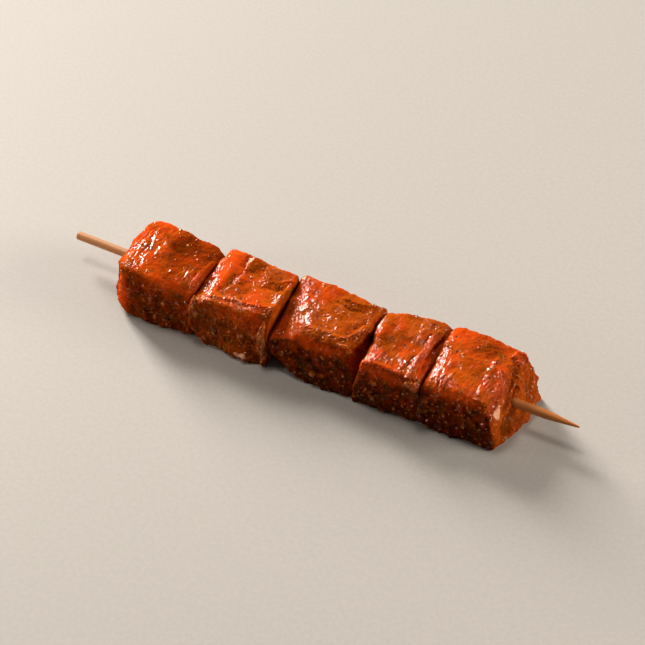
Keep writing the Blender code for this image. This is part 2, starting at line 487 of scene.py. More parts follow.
@dataclass(frozen=True)
class MarinatedLamb:
    """Raw lamb under an oily paprika paste: translucent red meat, matt paste, a wet coat.

    The light goes a little way into the meat, which gives the eye soft red depth. The paste
    is matt and rough. Oil and juice lie over both as a thin clear coat, which is the gloss.
    Ground spice is finer than the grit here, which is drawn as coarse as it needs to show.
    Widths, depths and heights are in mm.
    """

    name: str = "marinated raw lamb"
    lean: str = "#CC4A12"
    deep_lean: str = "#B03A08"
    paste: str = "#BA520E"
    dark_paste: str = "#923A08"
    shade: str = "#741E02"
    spice: str = "#E0882A"
    herb: str = "#5A360C"
    fat: str = "#E2A887"
    torn: str = "#A44420"
    # The side colours are the sides' darker copies of the paste and the meat: painted shade.
    side: str = "#8A2802"
    side_lean: str = "#C24408"
    painted_crevice_shade: str = "#300A01"
    marinade_ior: float = 1.42
    oil_ior: float = 1.47
    paste_roughness: float = 0.5
    lean_roughness: float = 0.36
    coat_roughness: float = 0.06
    coat_weight: float = 0.9
    subsurface_depth: float = 1.6
    subsurface_weight: float = 0.25
    subsurface_spread: Triple = (1.0, 0.28, 0.12)
    cloud: float = 6.0
    speckle: float = 1.0
    clot: float = 3.6
    grit: float = 0.35
    ripple: float = 0.8
    bump_depth: float = 0.1
    bump_strength: float = 0.5
    foot_shade_height: float = 14.0

    def build(self) -> bpy.types.Material:
        """Make the material. The mesh carries the values that say where each look shows.

        Returns:
            The material.
        """
        look = Look(bpy.data.materials.new(self.name))
        place = look.add(Kind.PLACE)
        cloud = look.add(Kind.NOISE, place, per_mm(self.cloud), 4.0, 0.6)
        speckle = look.add(Kind.NOISE, place, per_mm(self.speckle), 4.0, 0.7)
        share = look.add(Kind.RAMP, cloud, 0.4, 0.7)
        meat = look.add(Kind.BLEND, share, self.lean, self.deep_lean)
        share = look.add(Kind.RAMP, cloud, 0.35, 0.65)
        paste = look.add(Kind.BLEND, share, self.paste, self.dark_paste)
        share = look.add(Kind.RAMP, speckle, 0.58, 0.78, 0.0, 0.45)
        paste = look.add(Kind.BLEND, share, paste, self.spice)
        share = look.add(Kind.RAMP, speckle, 0.3, 0.44, 0.6, 0.0)
        paste = look.add(Kind.BLEND, share, paste, self.herb)

        # The paste covers the meat with a ragged edge, and a brown shade lies over both.
        edge = look.add(Kind.RAMP, speckle, 0.3, 0.7, -0.15, 0.15)
        covered = look.add(Kind.ADD, look.add(Kind.VALUE, attribute_name="paste"), edge)
        colour = look.add(Kind.BLEND, look.add(Kind.RAMP, covered, 0.1, 0.7), meat, paste)
        shade = look.add(Kind.VALUE, attribute_name="shade")
        colour = look.add(Kind.BLEND, shade, colour, self.shade)

        # Painted shade on the sides: darker colours, with dark mottles between clots of paste
        # that grow towards the foot, so that the sides darken towards the bottom.
        clot = look.add(Kind.NOISE, place, per_mm(self.clot), 5.0, 0.65)
        clot = look.add(Kind.RAMP, clot, 0.4, 0.6)
        height = look.add(Kind.HEIGHT, place)
        foot_shade = look.add(Kind.RAMP, height, 0.0, self.foot_shade_height * MM, 0.25, 1.0)
        clot = look.add(Kind.MULTIPLY, clot, foot_shade)
        side = look.add(Kind.BLEND, clot, self.painted_crevice_shade, self.side)
        lean = look.add(Kind.VALUE, attribute_name="lean")
        side = look.add(Kind.BLEND, lean, side, self.side_lean)
        layers = {"side": side, "spice": self.spice, "herb": self.herb,
                  "torn": self.torn, "fat": self.fat}
        for name, layer in layers.items():
            share = look.add(Kind.VALUE, attribute_name=name)
            colour = look.add(Kind.BLEND, share, colour, layer)

        grit, ripple = (
            look.add(Kind.BUMP, look.add(Kind.NOISE, place, per_mm(width), detail, rough),
                     self.bump_strength, self.bump_depth * MM)
            for width, detail, rough in ((self.grit, 3.0, 0.6), (self.ripple, 2.0, 0.5))
        )
        wet = look.add(Kind.VALUE, attribute_name="wet")
        return look.finish({
            "Base Color": colour,
            "Roughness": look.add(Kind.RAMP, covered, 0.1, 0.7,
                                  self.lean_roughness, self.paste_roughness),
            "IOR": self.marinade_ior,
            "Specular IOR Level": 0.0,
            "Subsurface Weight": self.subsurface_weight,
            "Subsurface Radius": self.subsurface_spread,
            "Subsurface Scale": self.subsurface_depth * MM,
            "Coat Weight": look.add(Kind.MULTIPLY, wet, self.coat_weight),
            "Coat Roughness": self.coat_roughness,
            "Coat IOR": self.oil_ior,
            "Normal": grit,
            "Coat Normal": ripple,
        })


@dataclass(frozen=True)
class Bamboo:
    """Split and rounded bamboo: pale, dry, with fine darker fibres along its length.

    The fibres give the eye long streaks. They are drawn wider than real ones, as coarse as
    they need to show.
    """

    name: str = "bamboo"
    pale: str = "#B6AA88"
    fibre: str = "#9A7F50"
    stain: str = "#BC6A18"
    fibre_width: float = 0.28
    fibre_stretch: float = 60.0
    fibre_depth: float = 0.08
    cloud: float = 9.0
    cloud_stretch: float = 4.0
    subsurface_depth: float = 0.8

    def build(self) -> bpy.types.Material:
        """Make the material. The mesh carries a stain value near the meat.

        Returns:
            The material.
        """
        look = Look(bpy.data.materials.new(self.name))
        place = look.add(Kind.PLACE)
        threads, cloud = (
            look.add(Kind.NOISE, look.add(Kind.STRETCH, place, (1.0 / stretch, 1.0, 1.0)),
                     per_mm(width), detail, rough)
            for width, stretch, detail, rough in (
                (self.fibre_width, self.fibre_stretch, 3.0, 0.6),
                (self.cloud, self.cloud_stretch, 2.0, 0.5))
        )
        share = look.add(Kind.RAMP, threads, 0.45, 0.75)
        colour = look.add(Kind.BLEND, share, self.pale, self.fibre)
        share = look.add(Kind.RAMP, cloud, 0.4, 0.8, 0.0, 0.35)
        colour = look.add(Kind.BLEND, share, colour, self.fibre)
        share = look.add(Kind.VALUE, attribute_name="stain")
        return look.finish({
            "Base Color": look.add(Kind.BLEND, share, colour, self.stain),
            "Roughness": 0.55,
            "IOR": 1.5,
            "Subsurface Weight": 0.12,
            "Subsurface Radius": (1.0, 0.6, 0.35),
            "Subsurface Scale": self.subsurface_depth * MM,
            "Normal": look.add(Kind.BUMP, threads, 0.35, self.fibre_depth * MM),
        })


@dataclass(frozen=True)
class Speck:
    """Crushed spice wetted by the marinade: two mottled colours, with a light gloss."""

    name: str
    colour: str
    other: str
    roughness: float = 0.5
    coat: float = 0.15
    mottle: float = 0.4

    def build(self) -> bpy.types.Material:
        """Make the material.

        Returns:
            The material.
        """
        look = Look(bpy.data.materials.new(self.name))
        place = look.add(Kind.PLACE)
        mottle = look.add(Kind.NOISE, place, per_mm(self.mottle), 2.0, 0.6)
        share = look.add(Kind.RAMP, mottle, 0.4, 0.6)
        return look.finish({
            "Base Color": look.add(Kind.BLEND, share, self.colour, self.other),
            "Roughness": self.roughness,
            "Specular IOR Level": 0.1,
            "Coat Weight": self.coat,
            "Coat Roughness": 0.1,
        })


# ----------------------------------------------------------------------------- bamboo stick

@dataclass
class BambooStick:
    """The stick: a round rod, cut blunt at -X and sharpened to a long point at +X."""

    length: float = STICK_LENGTH
    diameter: float = STICK_DIAMETER
    height: float = STICK_HEIGHT
    point_length: float = 12.5
    point_curve: float = 1.15
    tip_diameter: float = 0.7
    tip_rounding: float = 0.35
    tip_flat: float = 0.72
    bevel: float = 0.25
    around: int = 72
    stations: int = 420
    fibre_relief: float = 0.022
    fibre_width: float = 0.32
    fibre_stretch: float = 45.0
    left_meat: float = -74.5
    right_meat: float = 76.0
    tinge: float = 0.92
    finish: Bamboo = Bamboo()

    def radius_at(self, x: Array) -> Array:
        """Radius at x: straight, then a long cone that bulges a little, then a blunt tip.

        Args:
            x: places along the stick in mm.

        Returns:
            Radii in mm.
        """
        half = self.length / 2.0
        full = self.diameter / 2.0
        tip = self.tip_diameter / 2.0
        share = np.clip((x - half + self.point_length) / self.point_length, 0.0, 1.0)
        radius = full - (full - tip) * share ** self.point_curve
        rounding = np.clip((half - x) / self.tip_rounding, 0.0, 1.0)
        radius = radius * np.sqrt(1.0 - self.tip_flat * (1.0 - rounding) ** 2)
        blunt = np.clip((x + half) / self.bevel, 0.0, 1.0)
        return radius - self.bevel * (1.0 - np.sqrt(1.0 - (1.0 - blunt) ** 2))

    def surface(self) -> Surface:
        """The rod's skin: radius(x) carried round the axis, with fibres as fine ridges.

        The stations follow a sine, so that they lie close together at both ends.

        Returns:
            A closed surface.
        """
        half = self.length / 2.0
        ease = np.linspace(-0.5, 0.5, self.stations) * math.pi * 0.98
        x = half * np.sin(ease) / math.sin(0.49 * math.pi)
        radius = self.radius_at(x)
        angle = np.arange(self.around) / self.around * 2.0 * math.pi
        ring = np.stack([np.zeros_like(angle), np.cos(angle), np.sin(angle)], axis=-1)
        points = x[:, None, None] * np.array([1.0, 0.0, 0.0]) + radius[:, None, None] * ring
        fibre = along(points, (1.0, 0.0, 0.0), self.fibre_stretch)
        fibre = soft_noise(fibre, self.fibre_width, 5)
        points[..., 1:] *= 1.0 + (self.fibre_relief * fibre / (self.diameter / 2.0))[..., None]
        points[..., 2] += self.height
        return tube(points, {"stain": self.stain(points)})

    def stain(self, points: Array) -> Array:
        """How far the marinade has crept along the stick from the meat at both ends.

        Args:
            points: the stick's points in mm.

        Returns:
            The stain at each point, 0 to 1.
        """
        creep = rough_noise(along(points, (1.0, 0.0, 0.0), 3.0), 1.5, 8, 2)
        right = smooth_step(5.0, 0.0, points[..., 0] - self.right_meat + 2.0 * creep)
        left = smooth_step(1.5, 0.0, self.left_meat - points[..., 0] + 0.8 * creep)
        tinge = self.tinge * (points[..., 0] > self.right_meat)
        return np.clip(np.maximum(np.maximum(0.75 * right, tinge), 0.5 * left), 0.0, 1.0)

    def build(self) -> bpy.types.Object:
        """Make the piece and let it stand for the CAD stick."""
        return add_piece("bamboo_stick", self.surface(), self.finish.build(), "skewer")


# ------------------------------------------------------------------------------- lamb cubes

@dataclass
class LambCube:
    """One piece of lamb, trimmed by knife cuts and centred on the stick at `place` mm.

    The folds are large and belong to the form, and the creases are fine and belong to the
    skin. `fibre` is the direction of the grain, `shade` browns the top, `painted_side_shade`
    darkens the sides with painted shade, and `ends` says how many of the grid's rows go to the
    left and the right end.
    """

    name: str
    place: float
    seed: int
    cuts: tuple[Cut, ...]
    folds: tuple[Fold, ...] = ()
    strands: tuple[Strand, ...] = ()
    areas: tuple[Area, ...] = ()
    creases: tuple[Fold, ...] = ()
    fibre: Triple = (0.1, 1.0, 0.1)
    shade: float = 0.1
    painted_side_shade: float = 0.92
    ends: tuple[float, float] = (0.5, 0.5)
    bulge_height: float = 0.95
    bulge_width: float = 1.8
    hub: float = 0.06
    around: int = 476
    rows: int = 200
    strand_grid: tuple[int, int] = (56, 40)

    def rays(self) -> Array:
        """Directions from the centre: a grid on a box, finer on its top, front and free ends.

        The columns go round the box's cross-section, and the rows go from the stick at the
        left end, over the left end, the long side and the right end, to the stick again.

        Returns:
            Unit vectors, rows by columns.
        """
        reach = [cut.reach for cut in self.cuts]
        long, wide, tall = (reach[0] + reach[1]) / 2, (reach[2] + reach[3]) / 2, reach[4]
        corners = np.cumsum([0.0, 2 * wide, 1.2 * tall, 0.8 * wide, 2 * tall])
        lap = np.arange(self.around) / self.around * corners[-1]
        y = np.interp(lap, corners, [-wide, wide, wide, -wide, -wide])
        z = np.interp(lap, corners, [tall, tall, -tall, -tall, tall])
        end = 0.85 * (wide + tall) / 2
        stops = np.cumsum([0.0, self.ends[0] * end, 2 * long, self.ends[1] * end])
        path = np.linspace(0.0, stops[-1], self.rows)
        x = np.interp(path, stops, [-long, -long, long, long])
        scale = np.interp(path, stops, [self.hub, 1.0, 1.0, self.hub])
        grid = np.stack(np.broadcast_arrays(
            x[:, None], scale[:, None] * y[None, :], scale[:, None] * z[None, :]), axis=-1)
        return unit(grid)

    def lumps(self, points: Array, seed: int, size: float, height: float) -> Array:
        """Soft random lumps: plane waves of one wavelength in random directions, added up.

        Args:
            points: places in mm.
            seed: another seed gives other lumps.
            size: wavelength in mm.
            height: height of a typical lump in mm.

        Returns:
            Heights in mm.
        """
        draw = np.random.default_rng(seed)
        axes = unit(draw.normal(size=(WAVES_IN_A_LUMP, 3)))
        phases = draw.uniform(0.0, 2.0 * math.pi, WAVES_IN_A_LUMP)
        waves = np.sin(points @ axes.T * (2.0 * math.pi / size) + phases)
        return height * waves.sum(axis=-1) / math.sqrt(WAVES_IN_A_LUMP)

    def stop(self, rays: Array, facing: Array, reach: float) -> Array:
        """Distance along each ray to a flat plane, and infinity where it points away."""
        towards = rays @ unit(facing)
        return np.where(towards > 1e-9, reach / np.maximum(towards, 1e-9), np.inf)

    def form(self) -> Array:
        """The trimmed cube: the inverse power sum of its cuts, with lumps and folds.

        Each cut stops a ray at reach / cos(angle to its facing), and the power sum keeps
        the nearest cut and rounds the edges. The base and the two sides that press on a
        neighbour are cut off flat.

        Returns:
            Points in mm, rows by columns.
        """
        rays = self.rays()
        total = np.zeros(rays.shape[:-1])
        for cut in (*self.cuts, Cut((0.0, 0.0, -1.0), STICK_HEIGHT + BASE_SAG)):
            towards = np.maximum(rays @ unit(np.array(cut.facing)), 0.0)
            total += (towards / cut.reach) ** EDGE_SHARPNESS
        radius = total ** (-1.0 / EDGE_SHARPNESS)
        centre = np.array([self.place, 0.0, STICK_HEIGHT])
        points = centre + rays * radius[..., None]
        radius += self.lumps(points, self.seed, BROAD_LUMP_SIZE, BROAD_LUMP_HEIGHT)
        radius += self.lumps(points, self.seed + 1, SMALL_LUMP_SIZE, SMALL_LUMP_HEIGHT)
        for fold in self.folds:
            radius += self.fold_height(points, fold)
        down = np.array([0.0, 0.0, -1.0])
        radius = np.minimum(radius, self.stop(rays, down, STICK_HEIGHT))
        for join in JOINS:
            side = math.copysign(1.0, join.place - self.place)
            facing = side * np.array(join.facing)
            reach = abs(join.place - self.place) / np.linalg.norm(facing) - JOIN_CLEARANCE
            radius = np.minimum(radius, self.stop(rays, facing, reach))
        return centre + rays * radius[..., None]

    def fold_height(self, points: Array, fold: Fold) -> Array:
        """Height of a fold: a bell curve of the distance to the nearest part of its path.

        Args:
            points: places in mm.
            fold: the fold or groove.

        Returns:
            Heights in mm.
        """
        nearest = np.full(points.shape[:-1], np.inf)
        for start, end in zip(np.array(fold.path[:-1]), np.array(fold.path[1:])):
            run = end - start
            share = np.clip((points - start) @ run / (run @ run), 0.0, 1.0)
            gap = np.linalg.norm(points - start - share[..., None] * run, axis=-1)
            nearest = np.minimum(nearest, gap)
        return fold.height * np.exp(-(nearest / fold.width) ** 2)

    def normals(self, points: Array) -> Array:
        """Outward unit normals of the grid, from the cross product of its two directions.

        Args:
            points: the grid's points in mm.

        Returns:
            Unit vectors, rows by columns.
        """
        lengthwise = np.roll(points, -1, axis=0) - np.roll(points, 1, axis=0)
        crosswise = np.roll(points, -1, axis=1) - np.roll(points, 1, axis=1)
        normal = unit(np.cross(crosswise, lengthwise))
        belt = points[self.rows // 2]
        outside = np.sum(normal[self.rows // 2] * (belt - belt.mean(axis=0)))
        return normal * math.copysign(1.0, float(outside))

    def shown(self, points: Array, kind: Patch) -> Array:
        """How strongly a kind of patch shows: the highest bell of its areas, with a ragged edge.

        Args:
            points: places in mm.
            kind: the kind of patch.

        Returns:
            The patch's strength at each point, 0 where there is none.
        """
        total = np.zeros(points.shape[:-1])
        ragged = points + 1.3 * rough_noise(points, 5.0, self.seed + 3, 2)[..., None]
        for area in self.areas:
            if area.kind is kind:
                gap = np.sum(((ragged - area.centre) / area.size) ** 2, axis=-1)
                total = np.maximum(total, area.strength * np.exp(-gap ** 1.5))
        return total

    def skin(self) -> Surface:
        """The cube's fine skin: the trimmed form moved along its normals by the relief.

        The relief adds swellings, wrinkles along the grain, paste lumps and spice grains,
        and the patches say where each of them shows. The values that colour the skin come
        from the same patterns.

        Returns:
            A closed ring-shaped surface, whose hole is hidden inside the stick.
        """
        points = self.form()
        normal = self.normals(points)

        # Where the patches, the sides with their painted shade, the foot and the paste are.
        lean, shine, thick, pit, fat, torn = (self.shown(points, kind) for kind in (
            Patch.LEAN, Patch.SHINE, Patch.PASTE, Patch.PIT, Patch.FAT, Patch.TORN))
        fat = smooth_step(0.25, 0.65, fat)
        side = smooth_step(0.75, 0.35, normal[..., 2])
        # Painted shade on the sides: full on the front, half on the back, less on faces towards +X.
        shade_by_facing = 0.5 + 0.5 * smooth_step(-0.2, -0.7, normal[..., 1])
        shade_by_facing -= 0.4 * smooth_step(0.4, 0.8, normal[..., 0])
        low = smooth_step(6.0, 0.5, points[..., 2])
        cover = smooth_step(-0.4, 0.4, rough_noise(points, 6.0, self.seed + 5))
        clumpy = smooth_step(-0.1, 0.5, rough_noise(points, 5.0, self.seed + 23, 2))
        bare = np.clip(lean + 0.3 * shine + 0.8 * torn + fat, 0.0, 1.0)
        paste = np.clip(0.3 + 0.6 * cover + 0.5 * thick + 0.25 * side, 0.0, 1.0) * (1.0 - bare)

        # The patterns, each with the width of its bumps in mm.
        swell = soft_noise(points, 7.5, self.seed + 7)
        wave = rough_noise(along(points, self.fibre, 1.7), 3.2, self.seed + 9, 2)
        ripple = rough_noise(along(points, self.fibre, 4.5), 0.8, self.seed + 11, 2)
        pebble = rough_noise(points, 0.9, self.seed + 13, 2)
        rubble = rough_noise(points, 4.2, self.seed + 19, 4)
        low_lumps = soft_noise(points, 2.4, self.seed + 33) * (1.0 - lean)
        film = smooth_step(-0.5, 0.3, rough_noise(points, 3.0, self.seed + 25, 2))
        beads = grain_bumps(points, 1.6, self.seed + 29, 0.4) * (0.3 + 0.7 * film)
        grains = grain_bumps(points, 1.2, self.seed + 15, 0.5)
        clots = grain_bumps(points, 2.6, self.seed + 17, 0.3)
        ragged = points + 0.7 * np.stack([wave, pebble, ripple], axis=-1)

        # The relief in mm.
        height = 0.38 * swell + 0.26 * wave + 0.14 * low_lumps
        height += side * (0.75 * rubble + 0.6 * low * np.abs(rubble)) * (1.0 - 0.6 * lean)
        height += 0.3 * ripple * (0.1 + shine + 0.5 * torn)
        height += pebble * (0.11 + 0.10 * clumpy * paste + 0.10 * side + 0.22 * torn + 0.10 * pit)
        height += (0.16 * grains + 0.3 * clots) * paste * (0.75 + 0.7 * side)
        height += 0.34 * beads + self.pucker(points) + self.squash(points)
        for fold in self.creases:
            height += self.fold_height(ragged, fold)
        points = points + normal * height[..., None]
        points[..., 2] = np.maximum(points[..., 2], 0.0)
        points[..., 0] = self.keep_apart(points)

        # What the finish shows: herbs in the pits, painted shade in the hollows of the sides, spice
        # on grains, wet beads and membranes.
        herb = np.clip(pit * smooth_step(0.6, -0.4, pebble) * 0.55, 0.0, 1.0)
        # Herb colour in the hollows of the side relief is painted shade.
        herb = np.maximum(herb, 0.7 * side * smooth_step(0.1, -0.7, rubble) * (1.0 - bare))
        spice = np.maximum(smooth_step(0.3, 0.8, grains), 0.8 * smooth_step(0.4, 0.9, clots))
        wet = 0.2 - 0.45 * lean + 0.8 * shine + 0.35 * film + 0.5 * clots - 0.9 * pit
        wet = np.clip(wet * (1.0 - self.shade * (1.0 - shine)), 0.0, 1.0) * (1.0 - 0.85 * side)
        wet = np.maximum(wet, smooth_step(0.1, 0.4, beads))
        wet = np.maximum(wet, 0.7 * side * smooth_step(0.3, 0.6, grains))
        shade = self.shade * (0.45 + 0.15 * cover + 0.6 * pit - lean - shine)
        values = {
            "paste": paste, "lean": lean, "herb": herb, "fat": fat, "torn": torn, "wet": wet,
            "spice": 0.6 * spice * paste * (0.3 + 0.7 * side),
            # The side value paints shade on the sides, so that they are darker than the tops.
            "side": self.painted_side_shade * side * shade_by_facing * (1.0 - np.clip(torn + fat, 0.0, 1.0)),
            "shade": np.clip(shade, 0.0, 1.0),
        }
        flat = {name: value.ravel() for name, value in values.items()}
        faces = grid_triangles(self.rows, self.around, True)
        return outward(Surface(points.reshape(-1, 3), faces, flat))

    def pucker(self, points: Array) -> Array:
        """A low collar where the meat closes round the stick, and a dip inside it.

        Args:
            points: places in mm.

        Returns:
            Heights in mm: one bell on a ring round the stick's axis, less one on the axis.
        """
        off_axis = np.hypot(points[..., 1], points[..., 2] - STICK_HEIGHT)
        collar = 0.45 * np.exp(-((off_axis - 2.6) / 0.9) ** 2)
        return collar - 0.5 * np.exp(-((off_axis / 1.9) ** 2))

    def squash(self, points: Array) -> Array:
        """The bulge of the meat that is pressed on a neighbour: a bell of the gap to it.

        Args:
            points: places in mm.

        Returns:
            Heights in mm.
        """
        gaps = [np.abs(points[..., 0] - join.place + join.facing[1] * points[..., 1])
                for join in JOINS]
        return self.bulge_height * np.exp(-(np.min(gaps, axis=0) / self.bulge_width) ** 2)

    def keep_apart(self, points: Array) -> Array:
        """Hold x on the cube's own side of the planes that it shares with its neighbours.

        Args:
            points: places in mm.

        Returns:
            The new x of each point.
        """
        x = points[..., 0]
        for join in JOINS:
            _, slope_y, slope_z = join.facing
            wall = join.place - slope_y * points[..., 1] - slope_z * (points[..., 2] - STICK_HEIGHT)
            if join.place > self.place:
                x = np.minimum(x, wall - JOIN_CLEARANCE)
            else:
                x = np.maximum(x, wall + JOIN_CLEARANCE)
        return x

    def strand(self, strand: Strand) -> Surface:
        """A tube along a path, with radius sin(πt)^0.5 and a lumpy skin.

        Args:
            strand: its path and its width.

        Returns:
            A closed surface.
        """
        rows, columns = self.strand_grid
        path = np.array(strand.path)
        steps = np.linalg.norm(np.diff(path, axis=0), axis=-1)
        length = np.concatenate([[0.0], np.cumsum(steps)])
        total = length[-1] + strand.width * 0.7
        share = 0.5 - 0.5 * np.cos(np.linspace(0.06, math.pi - 0.06, rows))
        reach = share * total - strand.width * 0.35
        line = np.stack([np.interp(reach, length, path[:, axis]) for axis in range(3)], axis=-1)
        forward = unit(path[-1] - path[0])
        line += (reach - np.clip(reach, 0.0, length[-1]))[:, None] * forward
        width = np.sin(math.pi * (0.01 + 0.98 * share)) ** 0.5 * strand.width / 2.0
        across = unit(np.cross(forward, (0.0, 1.0, 0.2)))
        third = np.cross(forward, across)
        angle = np.arange(columns) / columns * 2.0 * math.pi
        ring = np.cos(angle)[:, None] * across + np.sin(angle)[:, None] * third
        points = line[:, None, :] + width[:, None, None] * ring[None]
        bump = 1.0 + 0.7 * rough_noise(points, 2.2, self.seed + 21, 4)
        points = line[:, None, :] + (width[:, None] * bump)[..., None] * ring[None]
        points[..., 2] = np.maximum(points[..., 2], 0.0)
        crust = smooth_step(0.0, 0.5, rough_noise(points, 1.2, self.seed + 27, 2))
        plain = np.ones(points.shape[:-1])
        # The strands get a little of the painted side shade.
        return tube(points, {"paste": plain, "side": 0.2 * plain, "spice": 0.6 * crust,
                             "herb": 0.15 * (1.0 - crust), "wet": 0.7 * plain})

    def build(self, material: bpy.types.Material) -> Surface:
        """Make the piece, and let it stand for its CAD node.

        Args:
            material: the finish of the meat.

        Returns:
            The skin, without its strands.
        """
        skin = self.skin()
        parts = [skin] + [self.strand(strand) for strand in self.strands]
        add_piece(self.name + "_meat", joined(parts), material, self.name)
        return skin
